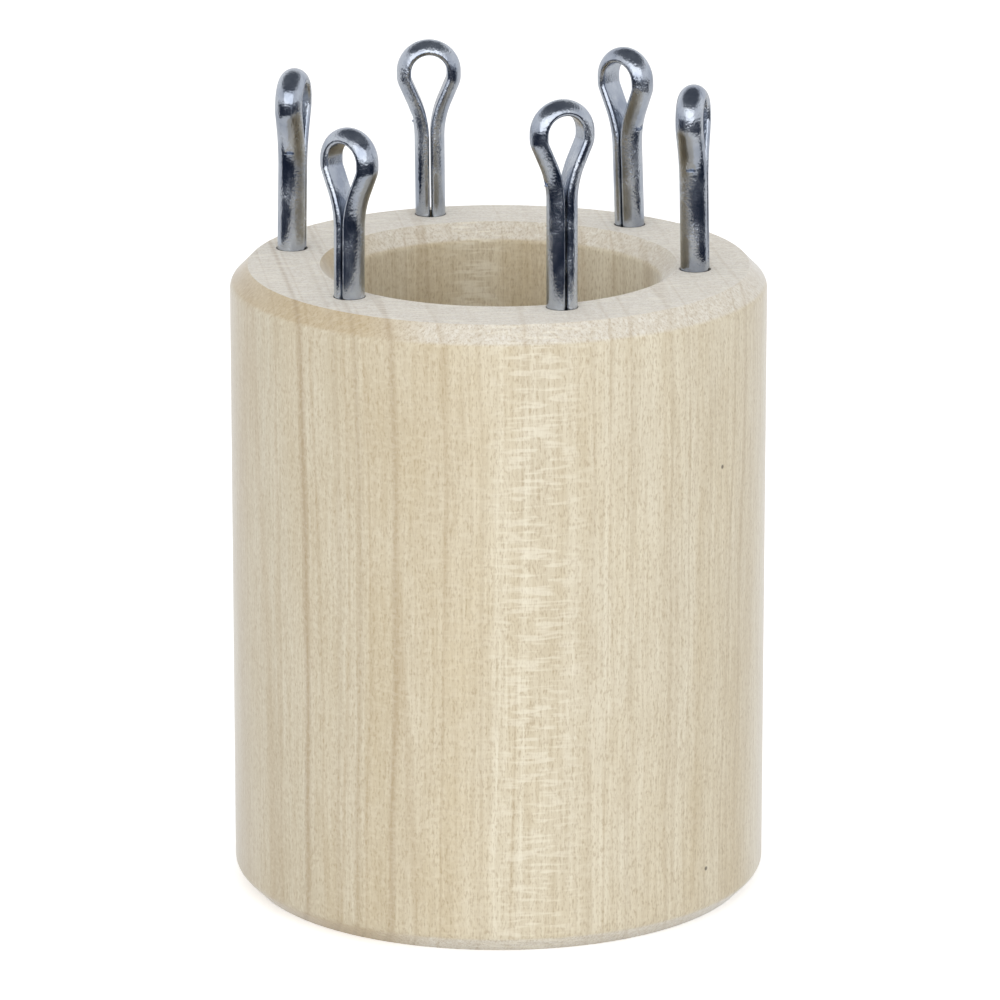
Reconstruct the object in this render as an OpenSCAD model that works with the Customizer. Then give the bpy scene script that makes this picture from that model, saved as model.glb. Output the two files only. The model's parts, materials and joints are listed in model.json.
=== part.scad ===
// Knitting spool: a turned wooden body with six steel split pins pressed into its top.
// A stitch is looped over each eye, and the finished cord leaves through the bore.
// The origin is the middle of the bottom face, +Z points up the bore, and -Y is the front.

/* [Body] */
// Outer diameter of the body
body_d = 60; // [58:0.5:70]
// Height of the body
body_h = 71.3; // [50:0.1:100]
// Bevel round the top edge, at 45 degrees
top_bevel = 2; // [0.5:0.1:2.4]
// Bevel round the bottom edge, at 45 degrees
foot_bevel = 1.9; // [0.5:0.1:3]

/* [Bore] */
// Diameter of the through bore that the cord leaves by
bore_d = 36.2; // [30:0.1:36.6]
// Bevel at each mouth of the bore, at 45 degrees
bore_bevel = 1.85; // [0.5:0.05:1.9]

/* [Pin holes] */
// Radius of the circle that the pin holes are drilled on
hole_circle_r = 23.1; // [22.8:0.1:23.8]
// How far that circle's centre lies from the bore's axis, towards +X and +Y
drill_off = [-0.8, 1.7]; // [-2:0.1:2]
// Direction of the first hole, at the front right, anticlockwise from +X
first_hole_dir = -72; // [-90:1:-60]
// How far each hole strays along the circle, in degrees, anticlockwise from the first
hole_stray = [1.5, 0.8, -1, -0.3, -1.5, -0.3]; // [-3:0.1:3]
// Lean of each hole and its pin, in degrees, towards +X
hole_lean = [-0.1, -1.1, -1.9, -0.5, 1, 0.3]; // [-2:0.1:2]
// Clearance between a pin's round sides and its hole
hole_clearance = 0.08; // [0.02:0.01:0.15]
// Angle of the drill's point, which shapes the bottom of each blind hole
drill_point = 118; // [90:1:140]

/* [Split pins as fitted] */
// Height of each eye's top above the wood, anticlockwise from the first
pin_height = [23.1, 20.9, 20.6, 20.4, 20.6, 18.9]; // [17:0.1:26]
// Turn of each pin about its own axis, in degrees from +X
pin_turn = [21, 78, 138, 3, 79, -39]; // [-180:1:180]
// Least room between a pin's longer leg and the bottom of its hole
tip_room = 0.9; // [0.2:0.1:3]

/* [Split pin] */
// Length from the eye's top to the tip of the longer leg
pin_l = 40; // [34:0.5:45]
// How much shorter the other leg is
tip_step = 2; // [0.5:0.1:4]
// Thickness of the half-round wire, from its flat to its round side
wire_t = 1.62; // [1.4:0.02:1.7]
// Radius of the wire's two long edges
wire_edge_r = 0.4; // [0.1:0.05:0.5]
// Inner radius of the eye
eye_r = 2.05; // [1.8:0.05:2.6]
// Straight stretch of each leg between the eye's half circle and its shoulder
eye_drop = 0.5; // [0.2:0.1:1]
// Radius of the flat side at the shoulder, where each leg turns inwards under the eye
shoulder_r = 1.2; // [0.6:0.1:1.7]
// Slope of the legs under the shoulder, in degrees from upright
leg_slope = 23.5; // [18:0.5:28]
// Radius of the flat side at the neck, where the legs turn down again
neck_r = 11.5; // [6:0.5:13]
// Gap between the legs below the neck
leg_gap = 0.2; // [0.1:0.02:0.4]

/* [Tool mark] */
// Distance from the eye's top down to the mark's ledge, on one leg's round side
mark_down = 9.4; // [8.6:0.1:9.8]
// Height of the mark above its ledge
mark_h = 1.6; // [0.8:0.1:1.8]
// Width of the mark
mark_w = 1.1; // [0.6:0.1:1.4]
// Depth of the ledge
mark_depth = 0.25; // [0.1:0.05:0.4]

/* [Hidden] */

$fn = 96;
wood_colour = "#e3d3b0";
zinc_colour = "#aeb4bd";
hole_step = 360 / len(pin_height);
overrun = 1;                     // how far a cut runs past the face that it opens
body_r = body_d / 2;
bore_r = bore_d / 2;
leg_r = leg_gap / 2 + wire_t;    // a closed pair of legs, from its axis to a round side
hole_r = leg_r + hole_clearance;
hole_depth = pin_l - min(pin_height) + tip_room;
eye_top = eye_r + wire_t;        // above the eye's centre, where each pin has its own origin

// The wire's section: its flat on the Y axis, its round side towards +X, both edges rounded
edge_steps = 4;
round_steps = 20;
edge_y = sqrt(pow(wire_t - wire_edge_r, 2) - pow(wire_edge_r, 2));
edge_dir = atan2(edge_y, wire_edge_r);
wire_half = concat(
    [for (i = [0:edge_steps]) let (a = 180 - i * (180 - edge_dir) / edge_steps)
        [wire_edge_r * (1 + cos(a)), edge_y + wire_edge_r * sin(a)]],
    [for (i = [1:round_steps / 2 - 1]) let (a = edge_dir * (1 - 2 * i / round_steps))
        [wire_t * cos(a), wire_t * sin(a)]],
    [[wire_t, 0]]
);
wire_points = concat(wire_half, [for (i = [len(wire_half) - 2:-1:0]) [wire_half[i].x, -wire_half[i].y]]);

// One leg's path, for its flat side: down, round the shoulder, inwards, round the neck, then down again
slope_lap = 0.02;                // how far the sloped stretch runs into the neck
neck_x = leg_gap / 2 + neck_r;
slope_l = (eye_r - shoulder_r + (shoulder_r + neck_r) * cos(leg_slope) - neck_x) / sin(leg_slope);
neck_z = -eye_drop - (shoulder_r + neck_r) * sin(leg_slope) - slope_l * cos(leg_slope);
tip_z = eye_top - pin_l;

function hole_dir(k) = first_hole_dir + hole_step * k + hole_stray[k];
function hole_place(k) = [
    drill_off.x + hole_circle_r * cos(hole_dir(k)),
    drill_off.y + hole_circle_r * sin(hole_dir(k)),
    body_h
];

// Moves its children from the origin to the mouth of hole k, leaning as the hole does
module at_hole(k) {
    translate(hole_place(k)) rotate([0, hole_lean[k], 0]) children();
}

module wood() {
    color(wood_colour) children();
}

module zinc() {
    color(zinc_colour) children();
}

// The bevelled wall of the body, turned round the Z axis
module turned_wall() {
    rotate_extrude() polygon([
        [bore_r, bore_bevel],
        [bore_r + bore_bevel, 0],
        [body_r - foot_bevel, 0],
        [body_r, foot_bevel],
        [body_r, body_h - top_bevel],
        [body_r - top_bevel, body_h],
        [bore_r + bore_bevel, body_h],
        [bore_r, body_h - bore_bevel]
    ]);
}

// A blind hole with its mouth at the origin and the cone of the drill's point at its bottom
module blind_hole() {
    point_l = hole_r / tan(drill_point / 2);
    rotate_extrude() polygon([
        [0, overrun], [hole_r, overrun], [hole_r, -hole_depth], [0, -hole_depth - point_l]
    ]);
}

module spool_body() {
    wood() difference() {
        turned_wall();
        for (k = [0:len(pin_height) - 1]) at_hole(k) blind_hole();
    }
}

module wire_section() {
    polygon(wire_points);
}

// Half-round wire bent round the Y axis, with its flat at radius r, outside or inside the bend
module bent_wire(r, from, angle, flat_outside = false) {
    rotate([90, 0, 0]) rotate_extrude(angle = angle, start = from)
        translate([r, 0]) mirror([flat_outside ? 1 : 0, 0]) wire_section();
}

// The leg on the +X side, down to the height tip
module leg(tip) {
    translate([eye_r, 0, -eye_drop]) {
        linear_extrude(eye_drop) wire_section();
        translate([-shoulder_r, 0, 0]) rotate([0, leg_slope, 0]) {
            bent_wire(shoulder_r, 0, leg_slope);
            translate([shoulder_r, 0, -slope_l - slope_lap])
                linear_extrude(slope_l + slope_lap) wire_section();
        }
    }
    translate([leg_gap / 2, 0, neck_z]) {
        translate([neck_r, 0, 0]) bent_wire(neck_r, 180 - leg_slope, leg_slope, flat_outside = true);
        translate([0, 0, tip - neck_z]) linear_extrude(neck_z - tip) wire_section();
    }
}

// The wedge that a tool cut from the round side of the leg on the -X side, as it turned the neck
module tool_mark() {
    ledge_z = eye_top - mark_down;
    mark_x = neck_x - sqrt(pow(neck_r - wire_t, 2) - pow(ledge_z - neck_z, 2));
    translate([-mark_x, mark_w / 2, ledge_z]) rotate([90, 0, 0]) linear_extrude(mark_w)
        polygon([[mark_depth, 0], [-overrun, 0], [-overrun, mark_h], [-overrun / 2, mark_h]]);
}

// A split pin with its eye's centre at the origin
module split_pin() {
    difference() {
        union() {
            bent_wire(eye_r, 0, 180);
            leg(tip_z);
            mirror([1, 0, 0]) leg(tip_z + tip_step);
        }
        tool_mark();
    }
}

module fitted_pin(k) {
    zinc() at_hole(k) translate([0, 0, pin_height[k] - eye_top]) rotate([0, 0, pin_turn[k]]) split_pin();
}

spool_body();
for (k = [0:len(pin_height) - 1]) {
    fitted_pin(k);
}
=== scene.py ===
# %% [markdown]
# # A wooden knitting spool
# A turned wooden body carries six steel split pins, and the knitted cord leaves through its bore.
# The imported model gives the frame: every piece below is made at its real size and place, in metres.

# %% Load the frame
import json
import math

import bmesh
import bpy
from mathutils import Matrix, Vector

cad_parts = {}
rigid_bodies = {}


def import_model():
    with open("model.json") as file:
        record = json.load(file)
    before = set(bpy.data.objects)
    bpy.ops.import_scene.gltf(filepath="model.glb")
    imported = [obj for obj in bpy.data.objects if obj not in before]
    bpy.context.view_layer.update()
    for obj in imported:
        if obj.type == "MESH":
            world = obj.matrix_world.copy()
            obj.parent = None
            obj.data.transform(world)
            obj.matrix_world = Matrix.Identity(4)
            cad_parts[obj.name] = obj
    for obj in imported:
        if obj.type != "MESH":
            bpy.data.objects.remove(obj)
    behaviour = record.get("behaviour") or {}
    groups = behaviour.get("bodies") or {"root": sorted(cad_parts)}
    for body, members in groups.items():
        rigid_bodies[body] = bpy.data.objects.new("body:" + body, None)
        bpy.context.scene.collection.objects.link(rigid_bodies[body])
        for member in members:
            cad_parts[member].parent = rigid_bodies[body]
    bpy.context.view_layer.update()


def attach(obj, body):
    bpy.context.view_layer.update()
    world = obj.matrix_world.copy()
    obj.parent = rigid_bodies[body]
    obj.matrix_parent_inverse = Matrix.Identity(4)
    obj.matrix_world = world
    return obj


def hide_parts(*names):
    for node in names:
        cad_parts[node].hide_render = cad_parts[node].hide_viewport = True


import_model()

# %% [markdown]
# The camera comes first, because it decides what has to be right. A photograph of a small object
# from less than a metre away has visible perspective, so the distance matters as much as the lens.

# %% Camera
CAMERA_PLACE = (0, -0.77738, 0.26206)
CAMERA_PITCH = math.radians(15.683)  # how far it looks down
CAMERA_AIM_X = 0.00016  # where it aims, beside the bore's axis
CAMERA_LENS = 258  # mm
SENSOR_WIDTH = 36  # mm

camera_turn = math.atan2(CAMERA_AIM_X, -CAMERA_PLACE[1])
bpy.ops.object.camera_add(location=CAMERA_PLACE, rotation=(math.pi / 2 - CAMERA_PITCH, 0, -camera_turn))
camera = bpy.context.object
camera.data.lens = CAMERA_LENS
camera.data.sensor_width = SENSOR_WIDTH
bpy.context.scene.camera = camera
bpy.context.scene.view_settings.view_transform = "Standard"
print("camera:", camera.data.lens, "mm lens, at", CAMERA_PLACE)

# %% [markdown]
# Materials are small graphs of nodes. A few helpers keep them short. The main one adds a node and
# fills its sockets with numbers or links, and another turns a screen colour into the linear colour
# that sockets take.

# %% Helpers for materials
def add(tree, kind, sockets, **settings):
    """Adds a node. sockets maps an input's name or number to a value, or to an output to link."""
    node = tree.nodes.new("ShaderNode" + kind)
    for name, value in settings.items():
        setattr(node, name, value)
    for name, value in sockets.items():
        if isinstance(value, bpy.types.NodeSocket):
            tree.links.new(value, node.inputs[name])
        else:
            node.inputs[name].default_value = value
    return node


def calc(tree, operation, a, b=0.0):
    return add(tree, "Math", {0: a, 1: b}, operation=operation).outputs[0]


def remap(tree, value, low, high, out_low=0.0, out_high=1.0):
    return add(tree, "MapRange", {0: value, 1: low, 2: high, 3: out_low, 4: out_high}).outputs[0]


def mix(tree, factor, a, b):
    return add(tree, "Mix", {0: factor, 6: a, 7: b}, data_type="RGBA").outputs[2]


def noise(tree, vector, scale, detail=2.0, roughness=0.5):
    """Noise whose scale is a vector in cells per metre, so that it can be drawn out along an axis."""
    stretched = add(tree, "Mapping", {"Vector": vector, "Scale": scale}).outputs[0]
    sockets = {"Vector": stretched, "Scale": 1.0, "Detail": detail, "Roughness": roughness}
    return add(tree, "TexNoise", sockets).outputs["Fac"]


def screen(red, green, blue):
    """A screen colour, 0 to 255, as the linear colour that a socket takes."""
    def linear(c):
        c = c / 255
        return c / 12.92 if c <= 0.04045 else ((c + 0.055) / 1.055) ** 2.4
    return (linear(red), linear(green), linear(blue), 1)


def new_material(name):
    material = bpy.data.materials.new(name)
    material.use_nodes = True
    tree = material.node_tree
    return material, tree, tree.nodes["Principled BSDF"]


def add_relief(tree, shader, height, strength, depth=0.0001):
    """Tilts the light on the surface as a fine relief would. The shape itself stays smooth."""
    bump = add(tree, "Bump", {"Strength": strength, "Distance": depth, "Height": height})
    tree.links.new(bump.outputs[0], shader.inputs["Normal"])


# %% [markdown]
# Maple is a solid texture: the log runs through the body, and the lathe only uncovers it. The growth
# rings are near-flat layers across X, the fibres run up Z, and the rays are thin ribbons that follow X.
# Read in object coordinates, each shows on every face as the cut there would show it. A flat picture
# wrapped round the body would need a seam, and its grain would not run on over the bevels.

# %% Maple's grain
RING_TURN = math.radians(-8)  # the rings' layers, turned about the log
WANDER = (0.0022, 0.001, 0)  # how far the grain wanders off its straight layers, in metres
WANDER_SCALE = 25.0  # cells per metre

maple, tree, shader = new_material("bare_maple")
coordinates = add(tree, "TexCoord", {})
turned_place = {"Vector": coordinates.outputs["Object"], "Rotation": (0, 0, RING_TURN)}
place = add(tree, "Mapping", turned_place).outputs[0]
warp = add(tree, "TexNoise", {"Vector": place, "Scale": WANDER_SCALE, "Detail": 1.0})
bent = add(tree, "VectorMath", {0: warp.outputs["Color"], 1: WANDER}, operation="MULTIPLY")
log = add(tree, "VectorMath", {0: place, 1: bent.outputs[0]}, operation="ADD").outputs[0]
across = add(tree, "SeparateXYZ", {0: log}).outputs[0]

# Most of these are drawn out along the log, the rays along X and the end grain's mottling along Y
broad = noise(tree, log, (95, 14, 5), 2)
rings = noise(tree, log, (420, 30, 8), 3)
lines = noise(tree, log, (230, 8, 4), 1)
fibres = noise(tree, log, (2600, 2600, 95), 3, 0.6)
pores = noise(tree, log, (5400, 5400, 1700), 2)
rays = noise(tree, log, (340, 2300, 2200), 1)
patches = noise(tree, log, (180, 180, 55), 3)
mottling = noise(tree, log, (1900, 700, 1900), 3, 0.6)

# The way a face looks: facing[0] along the rays, and upright 0 on the wall, 0.7 on a bevel, 1 on top
turned_normal = {"Vector": coordinates.outputs["Normal"], "Rotation": (0, 0, RING_TURN)}
facing = add(tree, "Mapping", turned_normal, vector_type="VECTOR").outputs[0]
facing = add(tree, "SeparateXYZ", {0: facing}).outputs
upright = calc(tree, "ABSOLUTE", facing[2])
print("maple's grain:", len(tree.nodes), "nodes")

# %% [markdown]
# Bare wood has no single colour. Broad bands of tan and cream carry this one. Towards its left side it is
# painted greyer, a painted sheen for the pale light that catches its left edge. Each finer noise tints
# what lies under it, which keeps every streak soft.

# %% Maple's colour
TAN = screen(222, 209, 180)
CREAM = screen(236, 228, 206)
PAINTED_SHEEN_GREY = screen(196, 190, 172)
RING_STREAK = screen(206, 190, 158)
PALE_PATCH = screen(232, 226, 209)
GREY_FULL, GREY_FROM = -0.032, -0.006  # across the log

colour = mix(tree, remap(tree, broad, 0.36, 0.6), TAN, CREAM)
# Painted sheen: the left side is greyed for the pale light that its edge catches
colour = mix(tree, remap(tree, across, GREY_FULL, GREY_FROM, 0.85, 0), colour, PAINTED_SHEEN_GREY)
colour = mix(tree, remap(tree, rings, 0.35, 0.7, 0, 0.5), colour, RING_STREAK)
colour = mix(tree, remap(tree, patches, 0.35, 0.65, 0, 0.3), colour, PALE_PATCH)

# %% [markdown]
# A cut across the fibres opens their ends, so the top and its bevels are paler than the wall and show
# short dashes. Their whitening is partly that end grain and partly painted light, for faces that look
# up into the light. On the left bevel the wood stays tan. The direction that a face looks in tells
# these cuts apart, so that the whole body keeps one material.

# %% Maple's end grain and painted light
END_GRAIN_AND_PAINTED_LIGHT = screen(240, 237, 230)
END_DASH = screen(196, 186, 166)
TAN_BEVEL = screen(196, 174, 136)
TAN_TO, PALE_FROM = -0.017, -0.010  # across the log, on the bevels

pale_side = remap(tree, across, TAN_TO, PALE_FROM, 0.0, 1)
pale = calc(tree, "MAXIMUM", pale_side, remap(tree, upright, 0.85, 0.95))
# Painted light: faces that look up are whitened as if lit more, over the paler end grain
end_grain_and_painted_light = calc(tree, "MULTIPLY", remap(tree, upright, 0.4, 0.65, 0, 0.75), pale)
colour = mix(tree, end_grain_and_painted_light, colour, END_GRAIN_AND_PAINTED_LIGHT)
not_pale = calc(tree, "SUBTRACT", 1.0, pale)
tan_bevel = calc(tree, "MULTIPLY", remap(tree, upright, 0.4, 0.65, 0, 0.6), not_pale)
colour = mix(tree, tan_bevel, colour, TAN_BEVEL)
dashes = calc(tree, "MULTIPLY", end_grain_and_painted_light, remap(tree, mottling, 0.42, 0.68, 0, 0.32))
colour = mix(tree, dashes, colour, END_DASH)

# %% [markdown]
# Darker lines end the single years, each at its own place across the log. Fibres and pores are the
# finest streaks. The rays flash pale, most of all where the wall runs along them, at the front and at
# the back.

# %% Maple's lines, pores and flecks
# Each dark ring line: its place across the log, its half width and its strength
RING_LINES = ((-0.0230, 0.0004, 0.6), (-0.0199, 0.0004, 0.25), (-0.0179, 0.0004, 0.35),
              (-0.0143, 0.0005, 0.4), (-0.0051, 0.0004, 0.15), (0.0072, 0.0004, 0.15),
              (0.0118, 0.0003, 0.2), (0.0165, 0.0004, 0.2), (0.0214, 0.0003, 0.15))
RING_LINE = screen(160, 136, 104)
FINE_LINE = screen(172, 148, 112)
FIBRE = screen(182, 163, 130)
PORE = screen(166, 142, 106)
RAY_FLECK = screen(246, 240, 222)
SPECK = screen(70, 56, 42)
SPECKS = ((0.0246, -0.0171, 0.0524), (0.0231, -0.0191, 0.0065))  # dark specks in the wall
SPECK_R = 0.0003

for ring_place, half_width, strength in RING_LINES:
    away = calc(tree, "ABSOLUTE", calc(tree, "SUBTRACT", across, ring_place))
    colour = mix(tree, remap(tree, away, 0, half_width, strength, 0), colour, RING_LINE)
line = calc(tree, "ABSOLUTE", calc(tree, "SUBTRACT", lines, 0.5))
colour = mix(tree, remap(tree, line, 0.0, 0.02, 0.3, 0), colour, FINE_LINE)
colour = mix(tree, remap(tree, fibres, 0.3, 0.75, 0, 0.5), colour, FIBRE)
colour = mix(tree, remap(tree, pores, 0.5, 0.7, 0, 0.46), colour, PORE)

along_rays = remap(tree, calc(tree, "ABSOLUTE", facing[0]), 0.05, 0.2, 0.42, 0.12)
flecks = calc(tree, "MULTIPLY", remap(tree, rays, 0.5, 0.64), along_rays)
colour = mix(tree, flecks, colour, RAY_FLECK)
for speck in SPECKS:
    ends = {0: coordinates.outputs["Object"], 1: speck}
    away = add(tree, "VectorMath", ends, operation="DISTANCE").outputs[1]
    colour = mix(tree, remap(tree, away, SPECK_R / 2, SPECK_R, 0.8, 0), colour, SPECK)

# %% [markdown]
# Sanded bare wood is dull, and the loose ends of its fibres catch a little light along the edges, as
# velvet does. Sheen gives that, and the fibres and pores also give a fine relief.

# %% Maple's surface
MAPLE_RELIEF = 0.35
MAPLE_SHEEN = 0.9

tree.links.new(colour, shader.inputs["Base Color"])
tree.links.new(remap(tree, fibres, 0.3, 0.7, 0.62, 0.8), shader.inputs["Roughness"])
shader.inputs["Sheen Weight"].default_value = MAPLE_SHEEN
shader.inputs["Sheen Roughness"].default_value = 0.35
height = calc(tree, "ADD", calc(tree, "MULTIPLY", fibres, 0.7), calc(tree, "MULTIPLY", pores, 0.5))
add_relief(tree, shader, height, MAPLE_RELIEF)
print("maple:", len(tree.nodes), "nodes")

# %% [markdown]
# Zinc plating over drawn wire is a mirror that has been knocked about: bluish, quite sharp in its
# reflections, but mottled and finely pitted where pins rubbed against each other in the plating drum.
# One broad noise drives all of it, because a rubbed patch is at once paler, duller and more pitted.

# %% Bright zinc
DARK_ZINC = (0.36, 0.40, 0.48, 1)
RUBBED_ZINC = (0.63, 0.67, 0.73, 1)
ZINC_RELIEF = 0.7

zinc, tree, shader = new_material("bright_zinc")
place = add(tree, "TexCoord", {}).outputs["Object"]
mottle = noise(tree, place, (420, 420, 300), 3)
pits = noise(tree, place, (4200, 4200, 3200), 2)
drawn = noise(tree, place, (2600, 2600, 160), 2)
plating = mix(tree, remap(tree, mottle, 0.35, 0.7), DARK_ZINC, RUBBED_ZINC)
tree.links.new(plating, shader.inputs["Base Color"])
tree.links.new(remap(tree, mottle, 0.35, 0.7, 0.13, 0.3), shader.inputs["Roughness"])
rough_spots = remap(tree, mottle, 0.5, 0.66, 0.4, 1)
height = calc(tree, "ADD", calc(tree, "MULTIPLY", pits, rough_spots), calc(tree, "MULTIPLY", drawn, 0.3))
add_relief(tree, shader, height, ZINC_RELIEF)
shader.inputs["Metallic"].default_value = 1
print("zinc:", len(tree.nodes), "nodes")

# %% [markdown]
# Modelling by hand means selecting, then acting. These helpers select by place, so that the same
# faces or edges are found again on every run.

# %% Helpers for modelling
MERGE_REACH = 1e-6  # points closer than this are one point
SMOOTH_ANGLE = math.radians(28)  # faces that meet more sharply than this keep a crisp edge


def deselect_all():
    if bpy.context.object and bpy.context.object.mode != "OBJECT":
        bpy.ops.object.mode_set(mode="OBJECT")
    bpy.ops.object.select_all(action="DESELECT")


def make_active(piece):
    deselect_all()
    piece.select_set(True)
    bpy.context.view_layer.objects.active = piece


def started(name):
    """Names the primitive that was just added, puts its place into its mesh and opens it."""
    piece = bpy.context.object
    piece.name = piece.data.name = name
    make_active(piece)
    bpy.ops.object.transform_apply(location=True, rotation=True, scale=True)
    bpy.ops.object.mode_set(mode="EDIT")
    return piece


def pick(piece, kind, test):
    """In edit mode, selects the vertices, edges or faces that pass the test, and nothing else."""
    bpy.ops.mesh.select_mode(type=kind)
    bpy.ops.mesh.select_all(action="DESELECT")
    mesh = bmesh.from_edit_mesh(piece.data)
    for item in {"VERT": mesh.verts, "EDGE": mesh.edges, "FACE": mesh.faces}[kind]:
        if test(item):
            item.select_set(True)
    bmesh.update_edit_mesh(piece.data)


def closed_up():
    """Merges doubled points, turns all faces outwards and leaves edit mode."""
    bpy.ops.mesh.select_all(action="SELECT")
    bpy.ops.mesh.remove_doubles(threshold=MERGE_REACH)
    bpy.ops.mesh.normals_make_consistent(inside=False)
    bpy.ops.object.mode_set(mode="OBJECT")


def combine(piece, tool, operation):
    """Cuts the tool out of the piece, or adds it, and removes the tool."""
    make_active(piece)
    modifier = piece.modifiers.new(tool.name, "BOOLEAN")
    modifier.object = tool
    modifier.operation = operation
    modifier.solver = "EXACT"
    bpy.ops.object.modifier_apply(modifier=modifier.name)
    bpy.data.objects.remove(tool)


def finish_piece(piece, material, node):
    """Gives the piece its material and its shading, joins it to the root body and hides the node it
    replaces.
    """
    piece.data.materials.clear()
    piece.data.materials.append(material)
    make_active(piece)
    bpy.ops.object.shade_smooth_by_angle(angle=SMOOTH_ANGLE)
    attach(piece, "root")
    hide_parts(node)
    print(piece.name, len(piece.data.polygons), "faces")


# %% [markdown]
# The body was bored and turned on a lathe. A cylinder becomes a tube by insetting both ends and
# bridging the two inner rings. A boolean cut could open the bore too, but it joins the two circles of
# each end with stray edges, and those spoil the bevels that come next.

# %% Bored cylinder
BODY_R = 0.030
BODY_H = 0.0713
BORE_R = 0.0181
BODY_SIDES = 256

deselect_all()
bpy.ops.mesh.primitive_cylinder_add(vertices=BODY_SIDES, radius=BODY_R, depth=BODY_H,
                                    location=(0, 0, BODY_H / 2))
body = started("turned_body")
pick(body, "FACE", lambda face: abs(face.normal.z) > 0.9)
bpy.ops.mesh.inset(thickness=BODY_R - BORE_R)
bpy.ops.mesh.bridge_edge_loops()
print("bored cylinder:", [round(1000 * size, 1) for size in body.dimensions], "mm")

# %% [markdown]
# The four rims now get the turner's bevels, each found by its radius and its height. The corner
# between a bevel and its wall is eased a little more, as sandpaper does, while the top's corner stays
# crisp.

# %% Bevelled rims
TOP_BEVEL = 0.002
FOOT_BEVEL = 0.0019
BORE_BEVEL = 0.00185
WALL_EASE = 0.0005
BORE_EASE = 0.0004
EASE_STEPS = 4


def on_ring(radius, height, reach=2e-5):
    """A test for the edges of one ring, at this radius and height."""
    def test(edge):
        return all(abs(math.hypot(v.co.x, v.co.y) - radius) < reach and abs(v.co.z - height) < reach
                   for v in edge.verts)
    return test


for radius, height, width in ((BODY_R, BODY_H, TOP_BEVEL), (BODY_R, 0, FOOT_BEVEL),
                              (BORE_R, BODY_H, BORE_BEVEL), (BORE_R, 0, BORE_BEVEL)):
    pick(body, "EDGE", on_ring(radius, height))
    bpy.ops.mesh.bevel(offset=width, segments=1)
for radius, height, width in ((BODY_R, BODY_H - TOP_BEVEL, WALL_EASE), (BODY_R, FOOT_BEVEL, WALL_EASE),
                              (BORE_R, BODY_H - BORE_BEVEL, BORE_EASE), (BORE_R, BORE_BEVEL, BORE_EASE)):
    pick(body, "EDGE", on_ring(radius, height))
    bpy.ops.mesh.bevel(offset=width, segments=EASE_STEPS)
closed_up()
print("bevelled body:", len(body.data.polygons), "faces")

# %% [markdown]
# Six blind holes take the pins. Each hole is drilled a little off its mark and a little off upright,
# and the drill leaves a cone at the bottom. A drill of the true shape is cut out of the body, since
# the mouth of a leaning hole isn't a circle. The values are the construction model's own.

# %% Pin holes
PINS = 6
PIN_HEIGHTS = (0.0231, 0.0209, 0.0206, 0.0204, 0.0206, 0.0189)  # of each eye's top above the wood
PIN_TURNS = (21, 78, 138, 3, 79, -39)  # degrees
HOLE_LEANS = (-0.1, -1.1, -1.9, -0.5, 1, 0.3)  # degrees, towards +X
HOLE_STRAYS = (1.5, 0.8, -1, -0.3, -1.5, -0.3)  # degrees along the circle
HOLE_CIRCLE_R = 0.0231
DRILL_OFF = (-0.0008, 0.0017)  # the circle's centre, off the bore's axis
FIRST_HOLE = -72  # degrees from +X
HOLE_R = 0.0018
HOLE_DEPTH = 0.022
DRILL_POINT = math.radians(118)
DRILL_SIDES = 64


def at_hole(k):
    """The matrix that puts what stands at the origin into the mouth of hole k, leaning as it does."""
    direction = math.radians(FIRST_HOLE + 360 / PINS * k + HOLE_STRAYS[k])
    mouth = Vector((DRILL_OFF[0] + HOLE_CIRCLE_R * math.cos(direction),
                    DRILL_OFF[1] + HOLE_CIRCLE_R * math.sin(direction), BODY_H))
    return Matrix.Translation(mouth) @ Matrix.Rotation(math.radians(HOLE_LEANS[k]), 4, "Y")


for k in range(PINS):
    deselect_all()
    bpy.ops.mesh.primitive_cylinder_add(vertices=DRILL_SIDES, radius=HOLE_R, depth=HOLE_DEPTH * 2)
    drill = started(f"drill_{k}")
    pick(drill, "FACE", lambda face: face.normal.z < -0.9)
    point = (0, 0, -HOLE_R / math.tan(DRILL_POINT / 2))
    bpy.ops.mesh.extrude_region_move(TRANSFORM_OT_translate={"value": point})
    bpy.ops.mesh.merge(type="CENTER")
    closed_up()
    drill.data.transform(at_hole(k))
    combine(body, drill, "DIFFERENCE")
finish_piece(body, maple, "spool_body")

# %% [markdown]
# A split pin is one length of half-round wire, bent so that its two flats face each other. The
# section starts as a circle whose points are moved to the half-round outline with its two softened
# edges. It is then drawn along one half of the bend, a ring at a time, and mirrored. A swept curve
# would be shorter, but it twists a section that is flat on one side.

# %% Half-round wire
WIRE_T = 0.00162
WIRE_EDGE_R = 0.0004
EYE_R = 0.00205
ROUND_STEPS = 32
EDGE_STEPS = 6


def half_round():
    """The section's outline: how far each point stands off the flat, and its place along the flat."""
    edge_y = math.sqrt((WIRE_T - WIRE_EDGE_R) ** 2 - WIRE_EDGE_R ** 2)
    edge_turn = math.atan2(edge_y, WIRE_EDGE_R)
    corner = [math.pi - i * (math.pi - edge_turn) / EDGE_STEPS for i in range(EDGE_STEPS + 1)]
    left = [(WIRE_EDGE_R * (1 + math.cos(a)), edge_y + WIRE_EDGE_R * math.sin(a)) for a in corner]
    arc = [edge_turn * (1 - 2 * i / ROUND_STEPS) for i in range(1, ROUND_STEPS)]
    middle = [(WIRE_T * math.cos(a), WIRE_T * math.sin(a)) for a in arc]
    return left + middle + [(off, -along) for off, along in reversed(left)]


outline = half_round()
deselect_all()
bpy.ops.mesh.primitive_circle_add(vertices=len(outline), radius=WIRE_T, fill_type="NGON")
pin = started("pin_pattern")
bpy.ops.object.mode_set(mode="OBJECT")
for vertex, (off, along) in zip(pin.data.vertices, outline):
    vertex.co = (0, along, EYE_R + off)
bpy.ops.object.mode_set(mode="EDIT")
print("wire's section:", len(outline), "points")

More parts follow.
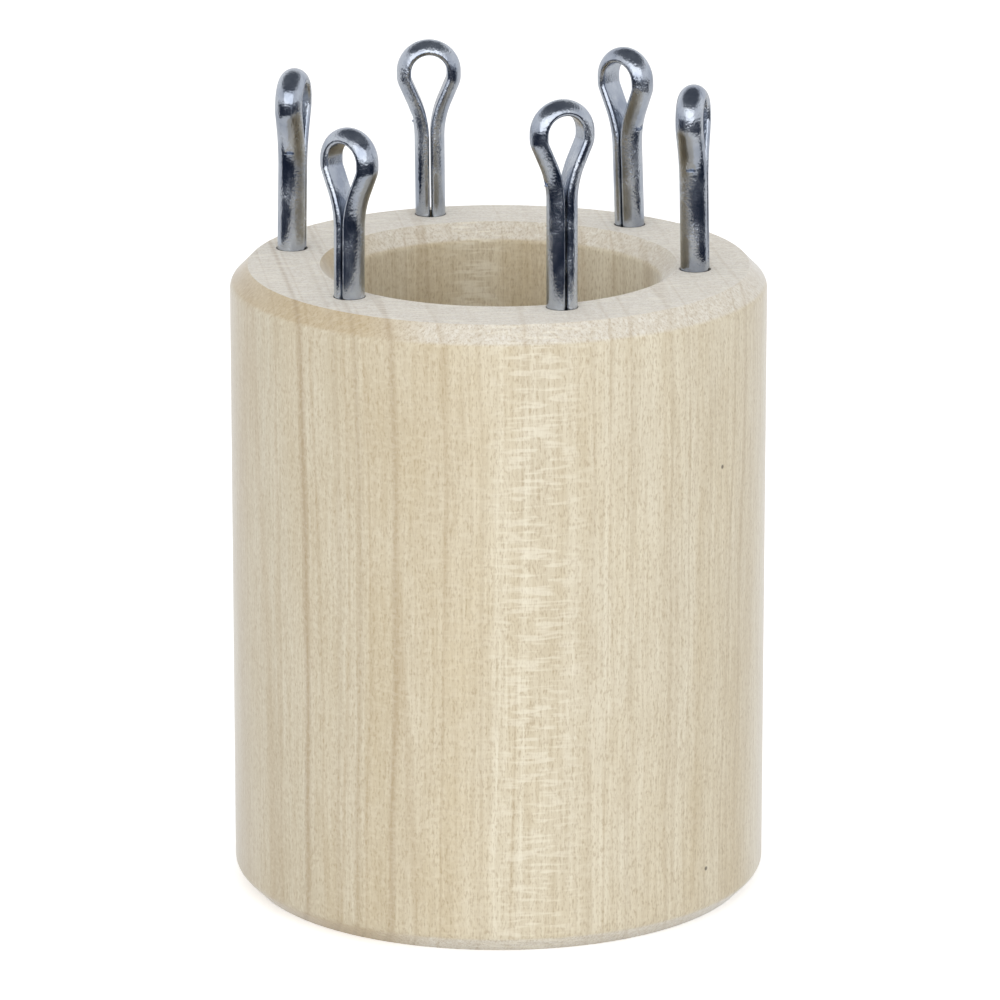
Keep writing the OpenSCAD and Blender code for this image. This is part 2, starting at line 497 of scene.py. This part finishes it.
# %% [markdown]
# The path has six parts: a quarter of the eye, a short drop, the shoulder, the slope, the neck and
# the shank. Each part either slides the last ring or turns it about the bend's centre, so the wire
# keeps its thickness all the way.

# %% Bending the wire
EYE_DROP = 0.0005
SHOULDER_R = 0.0012
LEG_SLOPE = math.radians(23.5)
NECK_R = 0.0115
LEG_GAP = 0.0002
PIN_L = 0.040
TIP_EASE = 0.0003
EYE_RINGS, SHOULDER_RINGS, NECK_RINGS = 18, 6, 14  # along each bend
eye_top = EYE_R + WIRE_T
neck_x = LEG_GAP / 2 + NECK_R
slope_l = (EYE_R - SHOULDER_R + (SHOULDER_R + NECK_R) * math.cos(LEG_SLOPE) - neck_x) / math.sin(LEG_SLOPE)
neck_z = -EYE_DROP - (SHOULDER_R + NECK_R) * math.sin(LEG_SLOPE) - slope_l * math.cos(LEG_SLOPE)
tip_z = eye_top - PIN_L


def next_ring(matrix):
    """Extrudes the selected end and moves the new end by the matrix."""
    bpy.ops.mesh.extrude_region_move(TRANSFORM_OT_translate={"value": (0, 0, 0)})
    mesh = bmesh.from_edit_mesh(pin.data)
    for vertex in mesh.verts:
        if vertex.select:
            vertex.co = matrix @ vertex.co
    bmesh.update_edit_mesh(pin.data)


def bend(steps, angle, centre_x, centre_z):
    """Turns the end about a centre in the XZ plane. A positive angle turns +Z towards +X."""
    centre = Matrix.Translation((centre_x, 0, centre_z))
    step = centre @ Matrix.Rotation(angle / steps, 4, "Y") @ centre.inverted()
    for _ in range(steps):
        next_ring(step)


bpy.ops.mesh.select_mode(type="FACE")
bpy.ops.mesh.select_all(action="SELECT")
bend(EYE_RINGS, math.pi / 2, 0, 0)
next_ring(Matrix.Translation((0, 0, -EYE_DROP)))
bend(SHOULDER_RINGS, LEG_SLOPE, EYE_R - SHOULDER_R, -EYE_DROP)
next_ring(Matrix.Translation((-slope_l * math.sin(LEG_SLOPE), 0, -slope_l * math.cos(LEG_SLOPE))))
bend(NECK_RINGS, -LEG_SLOPE, neck_x, neck_z)
next_ring(Matrix.Translation((0, 0, tip_z - neck_z)))
bpy.ops.mesh.inset(thickness=TIP_EASE, depth=TIP_EASE)

# %% [markdown]
# The other leg is this one's mirror image. The face where the wire was begun lies on the mirror's
# plane, so it comes out and the two halves join round its edge. The second leg is then cut shorter,
# which on the real pin lets a thumbnail in between the two.

# %% Second leg
TIP_STEP = 0.002

pick(pin, "FACE", lambda face: all(abs(v.co.x) < 1e-7 for v in face.verts))
bpy.ops.mesh.delete(type="FACE")
bpy.ops.object.mode_set(mode="OBJECT")
mirror = pin.modifiers.new("mirror", "MIRROR")
mirror.merge_threshold = MERGE_REACH
make_active(pin)
bpy.ops.object.modifier_apply(modifier="mirror")
bpy.ops.object.mode_set(mode="EDIT")
pick(pin, "VERT", lambda v: v.co.x < 0 and v.co.z < tip_z + TIP_EASE)
bpy.ops.transform.translate(value=(0, 0, TIP_STEP))
closed_up()
print("pin:", [round(1000 * size, 2) for size in pin.dimensions], "mm")

# %% [markdown]
# The tool that turned each neck left a nick in one leg: a slanting facet with a ledge under it, and
# a small burr of metal pushed up along the ledge. It is cut and added once, on the pattern, because
# every pin came off the same machine.

# %% Tool mark
MARK_DOWN = 0.0094
MARK_H = 0.0016
MARK_W = 0.0011
MARK_DEPTH = 0.00025
MARK_REACH = 0.001
MARK_ROUND = 0.0004
BURR = (0.00022, 0.00045, 0.00013)  # half its size each way

ledge_z = eye_top - MARK_DOWN
face_x = -(neck_x - math.sqrt((NECK_R - WIRE_T) ** 2 - (ledge_z - neck_z) ** 2))

deselect_all()
bpy.ops.mesh.primitive_cube_add(size=1)
chisel = started("chisel")
bpy.ops.object.mode_set(mode="OBJECT")
for vertex in chisel.data.vertices:
    inner, upper = vertex.co.x > 0, vertex.co.z > 0
    reach = (-MARK_REACH / 2 if upper else MARK_DEPTH) if inner else -MARK_REACH
    vertex.co = (face_x + reach, MARK_W * vertex.co.y, ledge_z + (MARK_H if upper else 0))
bpy.ops.object.mode_set(mode="EDIT")
# The mark's two upper corners are round
pick(chisel, "EDGE", lambda e: all(v.co.z > ledge_z + MARK_H / 2 for v in e.verts)
     and abs(e.verts[0].co.y - e.verts[1].co.y) < 1e-7)
bpy.ops.mesh.bevel(offset=MARK_ROUND, segments=5)
closed_up()
combine(pin, chisel, "DIFFERENCE")

deselect_all()
bpy.ops.mesh.primitive_uv_sphere_add(segments=20, ring_count=12, radius=1, scale=BURR,
                                     location=(face_x + BURR[0] / 3, 0, ledge_z - BURR[2] / 2))
burr = started("burr")
closed_up()
combine(pin, burr, "UNION")
print("marked pin:", len(pin.data.polygons), "faces")

# %% [markdown]
# The six pins are one pattern, copied. Each copy has a mesh of its own, and its place, its turn and
# the lean of its hole go into that mesh, so that the object itself stays at the origin.

# %% Fitting the pins
for k in range(PINS):
    fitted = pin.copy()
    fitted.data = pin.data.copy()
    fitted.name = fitted.data.name = f"pin_{k + 1}"
    bpy.context.collection.objects.link(fitted)
    seat = Matrix.Translation((0, 0, PIN_HEIGHTS[k] - eye_top))
    fitted.data.transform(at_hole(k) @ seat @ Matrix.Rotation(math.radians(PIN_TURNS[k]), 4, "Z"))
    finish_piece(fitted, zinc, f"split_pin_{k + 1}")
bpy.data.objects.remove(pin)

# %% [markdown]
# Bright metal shows the room more than itself, so the studio is part of the look. The camera and the
# wood see a floor of white paper. Where it lies far off in front, the metal's reflections see a dark
# room in its place, which draws the dark bands down the pins. A light path node tells these apart.

# %% Floor
FLOOR_SIZE = 8
WHITE_REACH = 0.15  # how far from the object the white floor runs, as bright metal sees it
DARK_FROM_Y = 0.03  # the dark room lies in front of this
PAPER = (0.9, 0.9, 0.9, 1)
DARK_ROOM = (0.02, 0.028, 0.05, 1)
PAPER_GLOW = 0.45  # lifts the paper to pure white for the camera, and leaves the shadow on it

deselect_all()
bpy.ops.mesh.primitive_plane_add(size=FLOOR_SIZE)
floor = bpy.context.object
floor.name = "floor"
material, tree, shader = new_material("paper_floor")
tree.nodes.remove(shader)
rays_seen = add(tree, "LightPath", {})
to_camera = rays_seen.outputs["Is Camera Ray"]
spot = add(tree, "TexCoord", {}).outputs["Object"]
distance = add(tree, "VectorMath", {0: spot}, operation="LENGTH").outputs[1]
in_front = calc(tree, "LESS_THAN", add(tree, "SeparateXYZ", {0: spot}).outputs[1], DARK_FROM_Y)
far_off = calc(tree, "MULTIPLY", calc(tree, "GREATER_THAN", distance, WHITE_REACH), in_front)
in_the_dark = calc(tree, "MULTIPLY", far_off, rays_seen.outputs["Is Glossy Ray"])
paper = add(tree, "BsdfDiffuse", {0: mix(tree, in_the_dark, PAPER, DARK_ROOM)})
glow = add(tree, "Emission", {1: calc(tree, "MULTIPLY", to_camera, PAPER_GLOW)})
both = add(tree, "AddShader", {0: paper.outputs[0], 1: glow.outputs[0]})
tree.links.new(both.outputs[0], tree.nodes["Material Output"].inputs[0])
floor.data.materials.append(material)
print("floor:", FLOOR_SIZE, "m, white for metal within", WHITE_REACH, "m")

# %% [markdown]
# One wide softbox behind the camera, to its left, models the round body without a hard highlight. The
# world is the rest of the room: white to the camera, an even fill on the wood, and in the metal a
# white surround under a dark ceiling.

# %% Studio light
SOFTBOX_PLACE = Vector((-0.16, -1.38, 0.60))
SOFTBOX_AIM = Vector((0, 0, 0.045))
SOFTBOX_SIZE = (2.2, 1.3)
SOFTBOX_POWER = 8.8  # watts
WHITE = (1, 1, 1, 1)
FILL = (0.8, 0.8, 0.8, 1)
SURROUND = (0.85, 0.86, 0.88, 1)
CEILING = (0.12, 0.13, 0.15, 1)

bpy.ops.object.light_add(type="AREA", location=SOFTBOX_PLACE,
                         rotation=(SOFTBOX_AIM - SOFTBOX_PLACE).to_track_quat("-Z", "Y").to_euler())
softbox = bpy.context.object.data
softbox.shape = "RECTANGLE"
softbox.size, softbox.size_y = SOFTBOX_SIZE
softbox.energy = SOFTBOX_POWER

world = bpy.data.worlds.new("studio")
bpy.context.scene.world = world
world.use_nodes = True
tree = world.node_tree
rays_seen = add(tree, "LightPath", {})
up = add(tree, "SeparateXYZ", {0: add(tree, "TexCoord", {}).outputs["Generated"]}).outputs[2]
room = mix(tree, remap(tree, up, 0.5, 0.7), SURROUND, CEILING)
room = mix(tree, rays_seen.outputs["Is Glossy Ray"], FILL, room)
room = mix(tree, rays_seen.outputs["Is Camera Ray"], room, WHITE)
tree.links.new(room, tree.nodes["Background"].inputs[0])
print("softbox:", softbox.size, "by", softbox.size_y, "m,", softbox.energy, "W")
